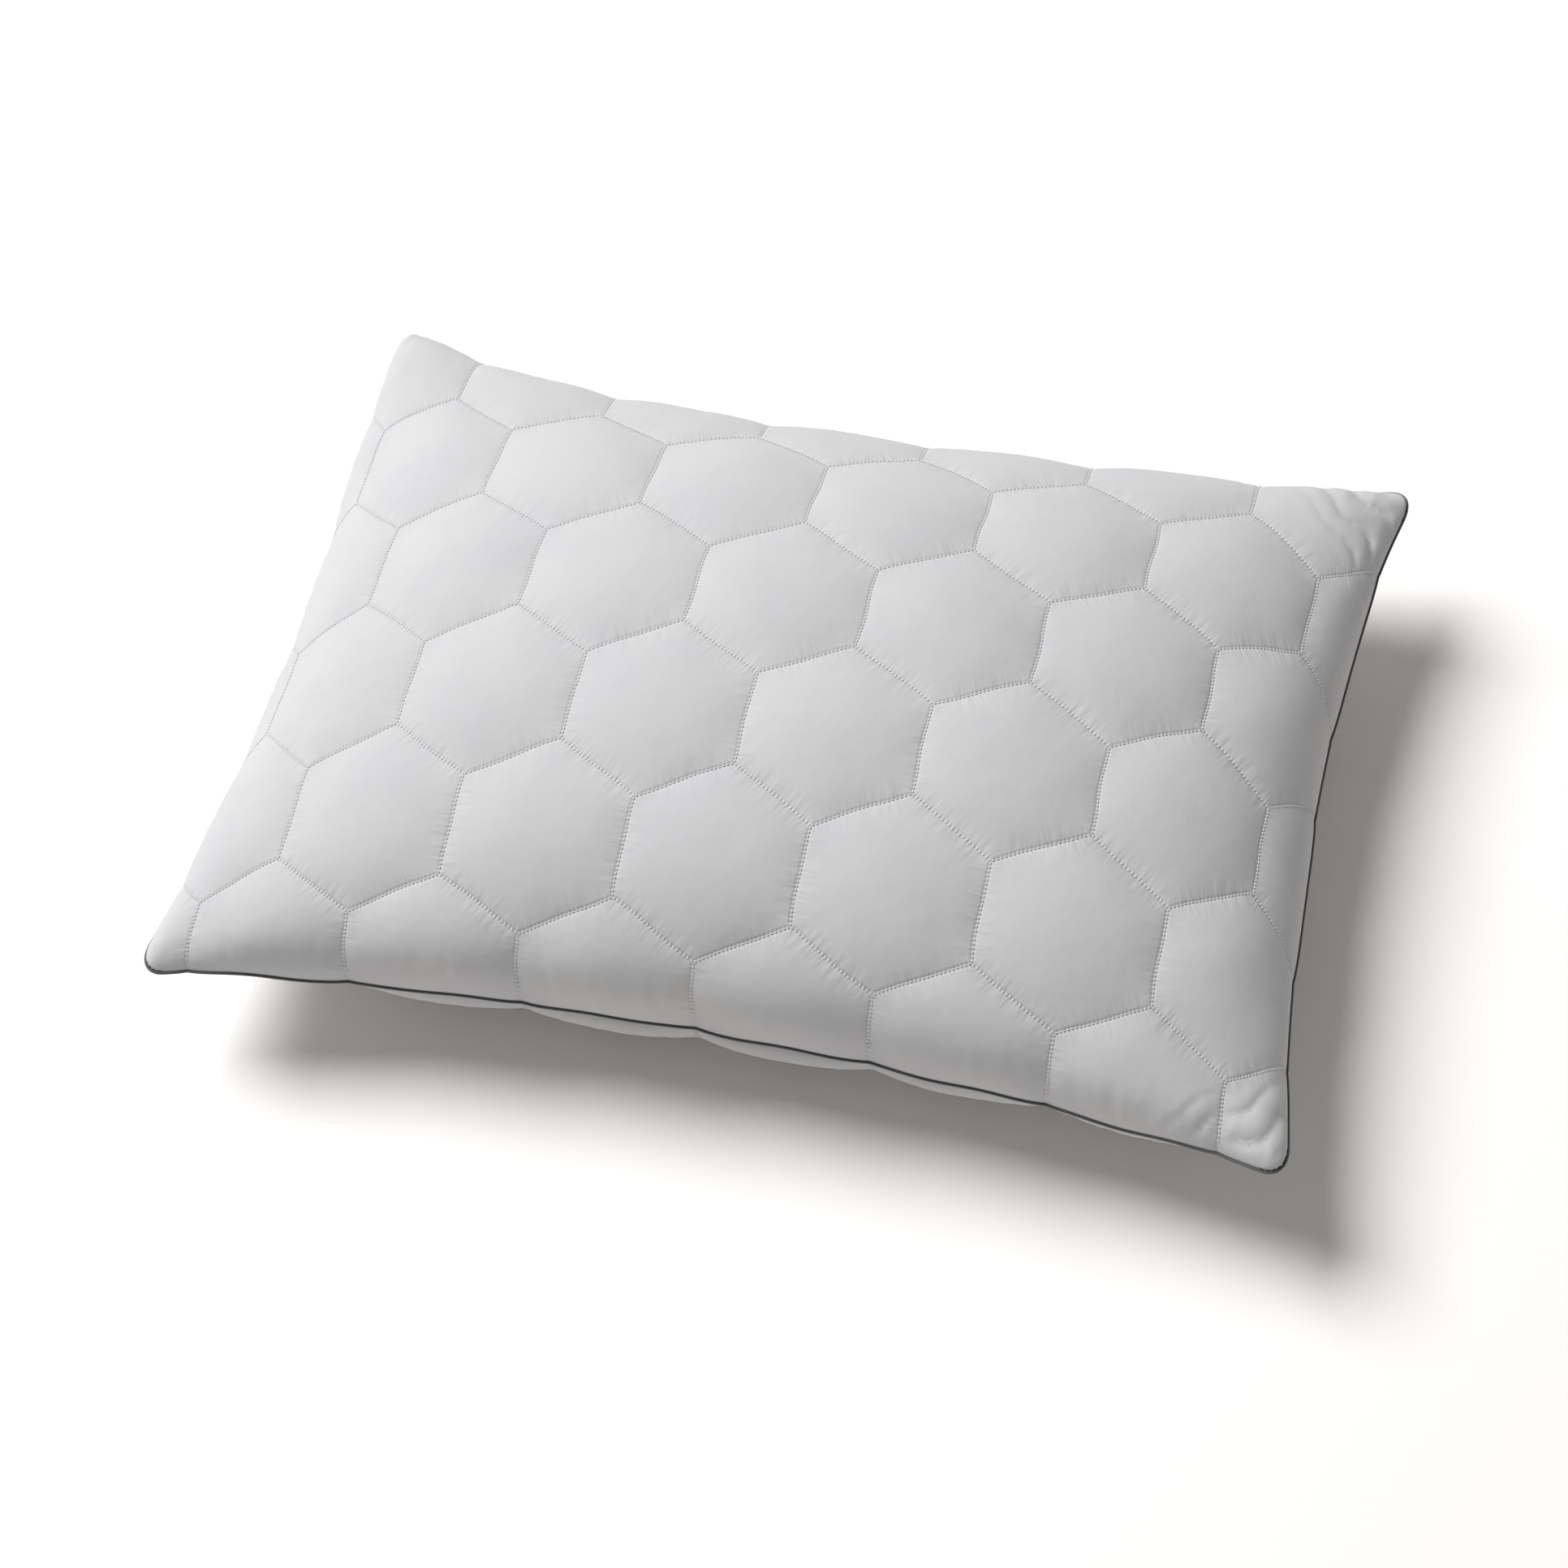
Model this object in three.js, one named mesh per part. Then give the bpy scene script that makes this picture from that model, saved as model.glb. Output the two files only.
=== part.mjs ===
// A bed pillow: two hexagon-quilted panels, joined by a piped knife-edge seam round a fibre fill.
// Millimetres, +Z up, +X along the pillow. The origin is at the middle of the surface it lies on.

import * as THREE from 'three';
import { mergeVertices } from 'three/addons/utils/BufferGeometryUtils.js';

// The flat pattern of one panel, inside its seam.
const CUT_LENGTH = 762;
const CUT_WIDTH = 516;
const CORNER_RADIUS = 22;
const RIM_STEP = 45;

// The quilting: hexagons across flats, with two of their flats standing along Y.
const CELL = 111;
const CELL_SIDE = CELL / Math.sqrt(3);
const ROW_PITCH = 1.5 * CELL_SIDE;
const ROWS = 6;
const COLUMNS_EACH_WAY = 4;
const LATTICE_SHIFT_X = -6;
const LATTICE_SHIFT_Y = -6;
const SHOULDER = 0.45;

// The filled shape. The seam is level along the sides and rises towards the corners.
const SEAM_HEIGHT = 66;
const FRONT_CORNER_LIFT = 21;
const BACK_CORNER_LIFT = 30;
const FRONT_CROWN = 113;
const BACK_CROWN = 85;
const CROWN_POWER = 2.2;
const SECTION_POWER = 0.57;

// Filling pulls the seam in from the flat pattern: at the middle of each side, and less at its corners.
const END_PULL = 37;
const CORNER_END_PULL = 18;
const SIDE_PULL = 40;
const CORNER_SIDE_PULL = 0;
const PULL_POWER = 7;

// Layers of a quilted panel, outermost first, and the air left between two of them.
const GAP = 0.3;
const FABRIC = 0.6;
const WADDING_STITCHED = 0.6;
const WADDING_LOFT = 8;
const LINING = 0.3;
const RIM_CLEARANCE = 1.1;
const FULL_LOFT_AT = 0.35;
const FRONT_VALLEY = 6;
const BACK_VALLEY = 3.5;
const THREAD_WIDTH = 1.2;
const THREAD_HEIGHT = 0.8;

// The piping: a cord in a folded bias strip, whose two edges lie in the seam.
const PIPING_RADIUS = 1.3;
const PIPING_CORD_RADIUS = 0.75;
const STRIP = 0.3;
const SLOT = 0.3;
const FLANGE = 9;

// Threads that run along the seam.
const SEAM_THREAD_WIDTH = 0.5;
const SEAM_THREAD_HEIGHT = 0.35;
const SEAM_THREAD_LIFT = 0.78;
const SEAM_LINE = 3;
const CLOSING_LENGTH = 200;

const FILL_INSET = 44;
const FILL_CLEARANCE = 6;
const FILL_EDGE = 1.5;

const LABEL_WIDTH = 40;
const LABEL_THICKNESS = 0.3;
const LABEL_LENGTH = 30;

const WADDING_TOP = FABRIC + GAP;
const LINING_TOP = WADDING_TOP + WADDING_STITCHED + GAP;
const PANEL_STITCHED = LINING_TOP + LINING;
const RIM_HEIGHT = RIM_CLEARANCE + PANEL_STITCHED;

// ---- the flat pattern and its cells ----

function roundedRectangle(inset) {
  const radius = CORNER_RADIUS - inset / 2;
  const x = CUT_LENGTH / 2 - inset - radius;
  const y = CUT_WIDTH / 2 - inset - radius;
  const shape = new THREE.Shape();
  shape.absarc(x, y, radius, 0, Math.PI / 2);
  shape.absarc(-x, y, radius, Math.PI / 2, Math.PI);
  shape.absarc(-x, -y, radius, Math.PI, 1.5 * Math.PI);
  shape.absarc(x, -y, radius, 1.5 * Math.PI, 2 * Math.PI);
  return shape.getPoints(2);
}

function hexagon(x, y) {
  return Array.from({ length: 6 }, (_, i) => {
    const angle = Math.PI / 2 + (i * Math.PI) / 3;
    return new THREE.Vector2(x + CELL_SIDE * Math.cos(angle), y + CELL_SIDE * Math.sin(angle));
  });
}

// Calls visit(point, next, i, j) for each side of a closed row of points.
function eachSide(points, visit) {
  points.forEach((point, i) => {
    const j = (i + 1) % points.length;
    visit(point, points[j], i, j);
  });
}

// The part of a convex polygon that lies on the left of the line from start to end.
function cutByLine(polygon, start, end) {
  const along = end.clone().sub(start);
  const side = (p) => along.cross(p.clone().sub(start));
  const kept = [];
  eachSide(polygon, (p, next) => {
    const here = side(p);
    const there = side(next);
    if (here >= 0) kept.push(p);
    if (here * there < 0) kept.push(p.clone().lerp(next, here / (here - there)));
  });
  return kept;
}

function clipTo(outline, polygon) {
  let kept = polygon;
  eachSide(outline, (start, end) => {
    if (start.distanceTo(end) > 0.01) kept = cutByLine(kept, start, end);
  });
  return kept.filter((p, i) => p.distanceTo(kept[(i + 1) % kept.length]) > 0.01);
}

function isOn(outline, p) {
  let found = false;
  eachSide(outline, (start, end) => {
    const along = end.clone().sub(start);
    const reach = THREE.MathUtils.clamp(p.clone().sub(start).dot(along) / (along.lengthSq() || 1), 0, 1);
    if (start.clone().addScaledVector(along, reach).distanceTo(p) < 0.01) found = true;
  });
  return found;
}

function middleOf(polygon) {
  const sum = new THREE.Vector2();
  let area = 0;
  eachSide(polygon, (p, next) => {
    const cross = p.cross(next);
    area += cross;
    sum.addScaledVector(p.clone().add(next), cross / 3);
  });
  return sum.divideScalar(area);
}

// Splits the sides that lie on the outline, so that the seam follows its curve.
function divideRim(outline, polygon) {
  const divided = [];
  eachSide(polygon, (p, next) => {
    const onRim = isOn(outline, p.clone().lerp(next, 0.5));
    const pieces = onRim ? Math.ceil(p.distanceTo(next) / RIM_STEP) : 1;
    for (let k = 0; k < pieces; k += 1) divided.push(p.clone().lerp(next, k / pieces));
  });
  return divided;
}

// How far the filling stands a panel up over a place on the pattern: 1 in the middle, 0 at the seam.
function loftAt(u, v) {
  const s = Math.min(1, Math.abs((2 * u) / CUT_LENGTH));
  const t = Math.min(1, Math.abs((2 * v) / CUT_WIDTH));
  return ((1 - s ** CROWN_POWER) * (1 - t ** CROWN_POWER)) ** SECTION_POWER;
}

// A place on the flat pattern, moved to where the filling pulls it, with the seam's height there.
function pulledIn(u, v) {
  const s = (2 * u) / CUT_LENGTH;
  const t = (2 * v) / CUT_WIDTH;
  const seam = SEAM_HEIGHT + (t > 0 ? BACK_CORNER_LIFT : FRONT_CORNER_LIFT) * s * s * t * t;
  const endPull = THREE.MathUtils.lerp(END_PULL, CORNER_END_PULL, t * t);
  const sidePull = THREE.MathUtils.lerp(SIDE_PULL, CORNER_SIDE_PULL, s * s);
  return { x: u - endPull * s ** PULL_POWER, y: v - sidePull * t ** PULL_POWER, seam };
}

function pointAt(p, rim, puffed) {
  return { u: p.x, v: p.y, ...pulledIn(p.x, p.y), loft: rim ? 0 : loftAt(p.x, p.y), rim, puffed };
}

function between(a, b, fraction) {
  const mix = (key) => THREE.MathUtils.lerp(a[key], b[key], fraction);
  const place = { u: mix('u'), v: mix('v'), x: mix('x'), y: mix('y'), seam: mix('seam') };
  return { ...place, loft: loftAt(place.u, place.v), rim: false, puffed: true };
}

// Each cell is a ring of stitched corners, a ring of shoulders inside it, and a puffed middle.
function makeCells(inset) {
  const outline = roundedRectangle(inset);
  const cells = [];
  for (let row = 0; row < ROWS; row += 1) {
    for (let column = -COLUMNS_EACH_WAY; column <= COLUMNS_EACH_WAY; column += 1) {
      const x = (column + (row % 2) / 2) * CELL + LATTICE_SHIFT_X;
      const y = ((ROWS - 1) / 2 - row) * ROW_PITCH + LATTICE_SHIFT_Y;
      const polygon = divideRim(outline, clipTo(outline, hexagon(x, y)));
      if (polygon.length > 2) {
        const corners = polygon.map((p) => pointAt(p, isOn(outline, p), false));
        const middle = pointAt(middleOf(polygon), false, true);
        const shoulders = corners.map((corner) => between(corner, middle, SHOULDER));
        const rimSides = [];
        eachSide(polygon, (p, next) => rimSides.push(isOn(outline, p.clone().lerp(next, 0.5))));
        cells.push({ corners, shoulders, middle, rimSides });
      }
    }
  }
  return cells;
}

// The points where the cells meet the seam, in order round the pillow.
function chainRim(cells) {
  const sides = [];
  for (const { corners, rimSides } of cells) {
    eachSide(corners, (a, b, i) => {
      if (rimSides[i]) sides.push([a, b]);
    });
  }
  const loop = [sides[0][0]];
  let reached = sides[0][1];
  while (loop.length < sides.length) {
    const [start, end] = sides.find(([a]) => Math.hypot(a.u - reached.u, a.v - reached.v) < 0.01);
    loop.push(start);
    reached = end;
  }
  return loop;
}

// ---- heights of a panel's outer face, measured away from the seam ----

function fullness(point) {
  return Math.min(1, point.loft / FULL_LOFT_AT);
}

function frontHeight(point) {
  const valley = point.puffed ? 0 : FRONT_VALLEY * fullness(point);
  return RIM_HEIGHT + FRONT_CROWN * point.loft - valley;
}

// The underside has a lower crown, pressed flat where its cells rest.
function backHeight(point) {
  const valley = point.puffed ? 0 : BACK_VALLEY * fullness(point);
  return Math.min(RIM_HEIGHT + BACK_CROWN * point.loft, point.seam) - valley;
}

function waddingLoft(point) {
  return point.puffed ? WADDING_LOFT * fullness(point) : 0;
}

// ---- closed solids ----

class Solid {
  constructor(side = 1) {
    this.side = side;
    this.positions = [];
  }

  // A point at a height away from the seam: above it for side 1, below it for side -1.
  at(point, height) {
    return [point.x, point.y, point.seam + this.side * height];
  }

  triangle(a, b, c) {
    const corners = this.side > 0 ? [a, b, c] : [a, c, b];
    this.positions.push(...corners.flat());
  }

  quad(a, b, c, d) {
    this.triangle(a, b, c);
    this.triangle(a, c, d);
  }

  geometry() {
    const geometry = new THREE.BufferGeometry();
    geometry.setAttribute('position', new THREE.Float32BufferAttribute(this.positions, 3));
    const merged = mergeVertices(geometry);
    merged.computeVertexNormals();
    return merged;
  }
}

// A slab over all cells, between two heights. A shouldered one has the full shape of each puff.
function slab(cells, side, outer, inner, shouldered) {
  const solid = new Solid(side);
  const out = (p) => solid.at(p, outer(p));
  const back = (p) => solid.at(p, inner(p));
  for (const { corners, shoulders, middle, rimSides } of cells) {
    eachSide(corners, (a, b, i, j) => {
      const [c, d] = shouldered ? [shoulders[i], shoulders[j]] : [a, b];
      if (shouldered) {
        solid.quad(out(a), out(b), out(d), out(c));
        solid.quad(back(a), back(c), back(d), back(b));
      }
      solid.triangle(out(c), out(d), out(middle));
      solid.triangle(back(d), back(c), back(middle));
      if (rimSides[i]) solid.quad(back(a), back(b), out(b), out(a));
    });
  }
  return solid.geometry();
}

// The stitching along every side of every cell: a thread of diamond section, just off the outer face.
function threadNet(cells, side, outer) {
  const solid = new Solid(side);
  const top = GAP + THREAD_HEIGHT;
  const flank = GAP + THREAD_HEIGHT / 2;
  for (const { corners, shoulders, rimSides } of cells) {
    const flanks = corners.map((corner, i) => {
      const shoulder = shoulders[i];
      const reach = Math.hypot(corner.x - shoulder.x, corner.y - shoulder.y);
      const mix = (from, to) => THREE.MathUtils.lerp(from, to, THREAD_WIDTH / 2 / reach);
      const height = mix(outer(corner), outer(shoulder)) + flank;
      const place = { x: mix(corner.x, shoulder.x), y: mix(corner.y, shoulder.y) };
      return solid.at({ ...place, seam: mix(corner.seam, shoulder.seam) }, height);
    });
    const ridges = corners.map((corner) => solid.at(corner, outer(corner) + top));
    const keels = corners.map((corner) => solid.at(corner, outer(corner) + GAP));
    eachSide(corners, (a, b, i, j) => {
      solid.quad(ridges[i], ridges[j], flanks[j], flanks[i]);
      solid.quad(keels[i], flanks[i], flanks[j], keels[j]);
      if (rimSides[i]) solid.quad(keels[i], keels[j], ridges[j], ridges[i]);
    });
  }
  return solid.geometry();
}

// ---- pieces that run along the seam ----

// The direction out of the pillow at each rim point, long enough to keep a swept section's width at a bend.
function outwardAt(loop, i) {
  const here = new THREE.Vector2(loop[i].x, loop[i].y);
  const neighbour = (step) => {
    const p = loop[(i + step + loop.length) % loop.length];
    return new THREE.Vector2(p.x, p.y);
  };
  const before = here.clone().sub(neighbour(-1)).normalize();
  const after = neighbour(1).sub(here).normalize();
  const outward = before.clone().add(after).normalize();
  const bend = outward.dot(after);
  return new THREE.Vector2(outward.y, -outward.x).divideScalar(bend);
}

// Sweeps a section along the seam. Its x is the distance out from the rim, and its y the height.
function sweep(loop, section, from = 0, count = loop.length) {
  const closed = count === loop.length;
  const solid = new Solid();
  const outline = THREE.ShapeUtils.isClockWise(section) ? [...section].reverse() : section;
  const rings = Array.from({ length: count }, (_, k) => {
    const i = (from + k) % loop.length;
    const outward = outwardAt(loop, i);
    return outline.map(({ x, y }) => {
      const foot = { x: loop[i].x + outward.x * x, y: loop[i].y + outward.y * x, seam: loop[i].seam };
      return solid.at(foot, y);
    });
  });
  for (let k = 0; k < (closed ? count : count - 1); k += 1) {
    const ring = rings[k];
    const next = rings[(k + 1) % count];
    eachSide(outline, (a, b, i, j) => solid.quad(ring[i], next[i], next[j], ring[j]));
  }
  if (!closed) {
    for (const [a, b, c] of THREE.ShapeUtils.triangulateShape(outline, [])) {
      const last = rings[count - 1];
      solid.triangle(rings[0][a], rings[0][b], rings[0][c]);
      solid.triangle(last[c], last[b], last[a]);
    }
  }
  return solid.geometry();
}

function circleSection(x, radius, sides) {
  const shape = new THREE.Shape().absarc(x, 0, radius, 0, 2 * Math.PI);
  return shape.getSpacedPoints(sides).slice(0, sides);
}

function rectangleSection(x, y, width, height) {
  const corners = [[-1, -1], [1, -1], [1, 1], [-1, 1]];
  return corners.map(([i, j]) => new THREE.Vector2(x + (i * width) / 2, y + (j * height) / 2));
}

// The bias strip: wrapped round the cord, with its two edges side by side in the seam.
function stripSection(x) {
  const outerRadius = PIPING_RADIUS;
  const innerRadius = PIPING_RADIUS - STRIP;
  const outerMouth = Math.PI - Math.asin((SLOT / 2 + STRIP) / outerRadius);
  const innerMouth = Math.PI - Math.asin(SLOT / 2 / innerRadius);
  const shape = new THREE.Shape();
  shape.moveTo(-FLANGE, SLOT / 2 + STRIP);
  shape.absarc(x, 0, outerRadius, outerMouth, -outerMouth, true);
  shape.lineTo(-FLANGE, -SLOT / 2 - STRIP);
  shape.lineTo(-FLANGE, -SLOT / 2);
  shape.absarc(x, 0, innerRadius, -innerMouth, innerMouth, false);
  shape.lineTo(-FLANGE, SLOT / 2);
  return shape.getPoints(3);
}

// A small folded tab, caught in the back seam and hanging from it.
function labelGeometry() {
  const half = LABEL_THICKNESS / 2;
  const path = new THREE.CatmullRomCurve3([
    new THREE.Vector3(-2 * SEAM_LINE, -SEAM_THREAD_LIFT, 0),
    new THREE.Vector3(-SEAM_LINE, -SEAM_THREAD_LIFT, 0),
    new THREE.Vector3(-0.1, -SEAM_THREAD_LIFT, 0),
    new THREE.Vector3(1.2, -PIPING_RADIUS - GAP - LABEL_THICKNESS, 0),
    new THREE.Vector3(4, -4, 0),
    new THREE.Vector3(9, -LABEL_LENGTH / 3, 0),
    new THREE.Vector3(11, -LABEL_LENGTH, 0),
  ]);
  const points = path.getPoints(15);
  const edge = (side) => points.map((p, i) => {
    const tangent = path.getTangent(i / 15);
    return new THREE.Vector2(p.x - side * half * tangent.y, p.y + side * half * tangent.x);
  });
  const shape = new THREE.Shape([...edge(-1), ...edge(1).reverse()]);
  const geometry = new THREE.ExtrudeGeometry(shape, { depth: LABEL_WIDTH, bevelEnabled: false });
  geometry.rotateX(Math.PI / 2);
  geometry.rotateZ(Math.PI / 2);
  geometry.translate(-LABEL_WIDTH / 2, pulledIn(LABEL_WIDTH, CUT_WIDTH / 2).y, SEAM_HEIGHT);
  return geometry;
}

// ---- the assembly ----

const cells = makeCells(0);
const fillCells = makeCells(FILL_INSET);
const rim = chainRim(cells);
const pipingCentre = GAP + PIPING_RADIUS;

const fabric = { color: 0xe9e7e2, roughness: 0.85, metalness: 0 };
const wadding = { color: 0xf4f4f1, roughness: 0.95, metalness: 0 };
const lining = { color: 0xdededa, roughness: 0.9, metalness: 0 };
const thread = { color: 0xefeee9, roughness: 0.6, metalness: 0 };
const satin = { color: 0x5c5d60, roughness: 0.4, metalness: 0 };
const cotton = { color: 0xd8d2c4, roughness: 0.9, metalness: 0 };

const pillow = new THREE.Group();

function addPiece(name, geometry, finish) {
  const mesh = new THREE.Mesh(geometry, new THREE.MeshStandardMaterial(finish));
  mesh.name = name;
  pillow.add(mesh);
}

function addPanel(name, side, height) {
  const belowFace = (depth) => (p) => height(p) - depth;
  const belowWadding = (depth) => (p) => height(p) - depth - waddingLoft(p);
  addPiece(`${name}_fabric`, slab(cells, side, height, belowFace(FABRIC), true), fabric);
  const waddingEnd = belowWadding(WADDING_TOP + WADDING_STITCHED);
  addPiece(`${name}_wadding`, slab(cells, side, belowFace(WADDING_TOP), waddingEnd, false), wadding);
  const liningEnd = belowWadding(PANEL_STITCHED);
  addPiece(`${name}_lining`, slab(cells, side, belowWadding(LINING_TOP), liningEnd, false), lining);
  addPiece(`${name}_quilting_thread`, threadNet(cells, side, height), thread);
}

addPanel('front', 1, frontHeight);
addPanel('back', -1, backHeight);

addPiece('piping_cover', sweep(rim, stripSection(pipingCentre)), satin);
addPiece('piping_cord', sweep(rim, circleSection(pipingCentre, PIPING_CORD_RADIUS, 6)), cotton);

const seamThread = (side) => {
  const height = side * SEAM_THREAD_LIFT;
  return rectangleSection(-SEAM_LINE, height, SEAM_THREAD_WIDTH, SEAM_THREAD_HEIGHT);
};
const isClosing = ({ x, y }) => x < 0 && Math.abs(y) < CLOSING_LENGTH / 2;
const closing = rim.map((p, i) => (isClosing(p) ? i : -1)).filter((i) => i >= 0);
addPiece('edge_seam_thread', sweep(rim, seamThread(1)), thread);
addPiece('closing_seam_thread', sweep(rim, seamThread(-1), closing[0], closing.length), thread);

const fillHeight = (height) => (p) => {
  const depth = PANEL_STITCHED + WADDING_LOFT + FILL_CLEARANCE;
  return p.rim ? FILL_EDGE : Math.max(FILL_EDGE, height(p) - depth);
};
const belowSeam = (p) => -fillHeight(backHeight)(p);
addPiece('fibre_fill', slab(fillCells, 1, fillHeight(frontHeight), belowSeam, false), wadding);

addPiece('care_label', labelGeometry(), satin);

export default pillow;
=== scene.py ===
"""A bed pillow with hexagon-quilted panels, a piped knife-edge seam and a fibre fill.

Each panel starts as its flat cloth pattern, meshed so that every quilting line is a row of mesh edges.
The stitched lines are placed on the filled shape, and cloth simulation puffs the cells between them.
"""

import math

import bpy
import numpy as np
from mathutils import Matrix, Vector, geometry


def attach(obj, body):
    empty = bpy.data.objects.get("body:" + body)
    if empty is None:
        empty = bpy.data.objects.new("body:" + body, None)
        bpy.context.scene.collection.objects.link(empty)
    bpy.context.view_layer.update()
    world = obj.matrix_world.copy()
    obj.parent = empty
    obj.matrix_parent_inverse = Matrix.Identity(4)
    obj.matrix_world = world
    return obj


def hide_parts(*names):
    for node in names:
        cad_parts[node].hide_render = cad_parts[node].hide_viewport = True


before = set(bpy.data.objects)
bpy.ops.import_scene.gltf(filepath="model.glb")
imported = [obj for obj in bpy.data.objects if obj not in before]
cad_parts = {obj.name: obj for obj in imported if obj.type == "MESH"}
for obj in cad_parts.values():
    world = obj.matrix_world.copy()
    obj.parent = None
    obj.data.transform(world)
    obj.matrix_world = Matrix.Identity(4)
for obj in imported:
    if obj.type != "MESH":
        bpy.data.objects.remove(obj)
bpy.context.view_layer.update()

# ---- sizes, in metres ----

SEAM_LEVEL = 0.066
LENGTH = 0.762
WIDTH = 0.516
HALF = np.array([LENGTH, WIDTH]) / 2
CORNER_RADIUS = 0.022

CELL = 0.111
CELL_SIDE = CELL / math.sqrt(3)
CELL_PITCH = np.array([CELL, 3 * CELL_SIDE])
# The directions across a hexagon's three pairs of sides.
SIDE_NORMALS = np.array([[1, 0], [0.5, math.sqrt(0.75)], [-0.5, math.sqrt(0.75)]])
FIRST_CELL = np.array([-0.006, 0.75 * CELL_SIDE - 0.006])
MESH_STEPS = 12
MESH_STEP = CELL_SIDE / MESH_STEPS
# How far inside the outline the mesh has rows of points following it.
RIM_ROWS = (0.0, 0.0012, 0.0034, 0.0068)

CROWN_POWER = 2.2
SECTION_POWER = 0.57
# The back leaves the front seam more gently than it leaves the others.
UNDER_FRONT_POWER = 1.0
FRONT_CROWN = 0.108
BACK_CROWN = 0.085
PULL_POWER = 7
LEFT_END_PULL = 0.0410
RIGHT_END_PULL = 0.0365
CORNER_END_PULL = 0.018
FRONT_SIDE_PULL = 0.040
BACK_SIDE_PULL = 0.029
CORNER_SIDE_PULL = 0.0
# The front panel is fuller just inside the back seam: where, how far around that, and how far out and up.
SHOULDER_AT = 0.92
SHOULDER_SPREAD = 0.07
SHOULDER_OUT = 0.004
SHOULDER_UP = 0.004
FRONT_CORNER_LIFT = 0.022
BACK_CORNER_LIFT = 0.031
# How far each corner strays from the even outline, (along, across), by its signs.
CORNER_STRAY = {
    (-1, 1): (0.0206, 0.013),
    (-1, -1): (0.0083, 0.0),
    (1, 1): (0.0125, 0.002),
    (1, -1): (0.0, 0.0),
}
# The stretch of edge beside a corner: how far the end is drawn in, the side spread out, the side lifted.
BESIDE_CORNER = {
    (-1, 1): (0.002, 0.009, 0.002),
}
WANDER = 0.0005
# The last column of quilting, at the right end, is sewn a little off: from where, over what
# width, and how far.
LAST_COLUMN = 0.281
LAST_COLUMN_WIDTH = 0.045
LAST_COLUMN_SHIFT = np.array([0.004, -0.010])
# Where along the end that column strays most, and how far around that it does.
STRAY_AT = 0.17
STRAY_SPREAD = 0.16
SEAM_SWAY = 0.0012
RIM_LIFT = 0.0006
REST_CLEARANCE = 0.0045
TOUCH = 0.0015

FABRIC = 0.0005
PUFF = 0.0062
DOME_POWER = 2.4
DOME_FULLNESS = 0.8
SEAM_BULGE = 0.026
# For each corner, by its signs: the folds' depth, their pitch, the angle they lie at, their reach, a phase.
CORNER_FOLDS = {
    (1, 1): (0.0042, 0.017, math.radians(38), 0.085, 0.4),
    (1, -1): (0.0046, 0.017, math.radians(44), 0.075, 1.2),
    (-1, -1): (0.0012, 0.026, math.radians(40), 0.075, 3.1),
    (-1, 1): (0.0006, 0.030, math.radians(45), 0.070, 4.4),
}
# How much fuller each corner is than the even shape, (front, back), by its signs.
CORNER_FULLNESS = {
    (-1, 1): (0.020, 0.006),
    (-1, -1): (0.006, 0.010),
    (1, 1): (0.0, 0.010),
    (1, -1): (0.002, 0.018),
}
# The gathers beside the seam: their height, their two pitches, how far in they reach.
GATHER = 0.0004
GATHER_PITCH = 0.019
FINE_GATHER_PITCH = 0.0113
GATHER_REACH = 0.020
SCALLOP = 0.0022
SCALLOP_WIDTH = 0.013
# The pattern is a little larger than the stitched shape, and more so where the cloth turns down to the seam.
SLACK = 1.012
STEEP_RIM = 0.010
STEEP_RIM_EXTRA = 0.013
PRESSURE = 40
VERTEX_MASS = 0.001
FRAMES = 20
PUFF_LIMIT = 0.016
# The edges beside which the cloth is tauter, as (axis, sign): the share of puffing lost, and its reach.
TAUT_EDGES = {
    (0, -1): (0.75, 0.085),
    (0, 1): (0.65, 0.050),
    (1, 1): (0.50, 0.050),
}

WADDING = 0.006
LINING = 0.0003
LAYER_GAP = 0.0002
UNDER_CLOTH = 0.0013

PIPING_RADIUS = 0.0009
CORD_RADIUS = 0.0005
STRIP = 0.0003
FLANGE = 0.009
PIPING_OUT = 0.0005

SEAM_STEP = 0.0015
SEAM_STITCH = 0.003
SEAM_THREAD_REACH = 0.0011
# The relief that stays in the cotton's finish: puckers, the groove of a quilting line, the weave.
PUCKER_REACH = 0.016
PUCKER_DEPTH = 0.0012
GROOVE_WIDTH = 0.0024
GROOVE_DEPTH = 0.00045
THREAD_PITCH = 0.0003
WEAVE_DEPTH = 0.00006
SATIN_RIB = 0.0004
SATIN_DEPTH = 0.00012

STITCHES_PER_SIDE = 24
STITCH = CELL_SIDE / STITCHES_PER_SIDE
STITCH_LIFT = 0.0005
THREAD = 0.0003

LABEL_WIDTH = 0.040
LABEL_THICKNESS = 0.0003
LABEL_CURL = 0.0012
# The label's middle line from its sewn-in edge to its free one, as (out, up) from the seam.
LABEL_LINE = np.array([
    (-0.008, 0.0),
    (-0.003, -0.0003),
    (0.0, -0.0012),
    (0.003, -0.0032),
    (0.007, -0.0075),
    (0.0095, -0.0135),
    (0.0105, -0.0195),
    (0.0103, -0.0255),
])

CAMERA_EYE = (0.37184, -1.10416, SEAM_LEVEL + 1.68687)
CAMERA_BACK = (0.18009, -0.52820, 0.82980)
CAMERA_ROLL = math.radians(-6.54)
CAMERA_LENS = 72.03
WINDOW_SIDE = (-0.66, 0.29, 0.92)
WINDOW_DISTANCE = 7.0
WINDOW_SIZE = 4.3
WINDOW_POWER = 610
WINDOW_COLOR = (0.997, 0.997, 1.012)
ROOM_STRENGTH = 0.26
ROOM_COLOR = (1.0, 0.985, 0.97)


# ---- the flat pattern ----

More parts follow.
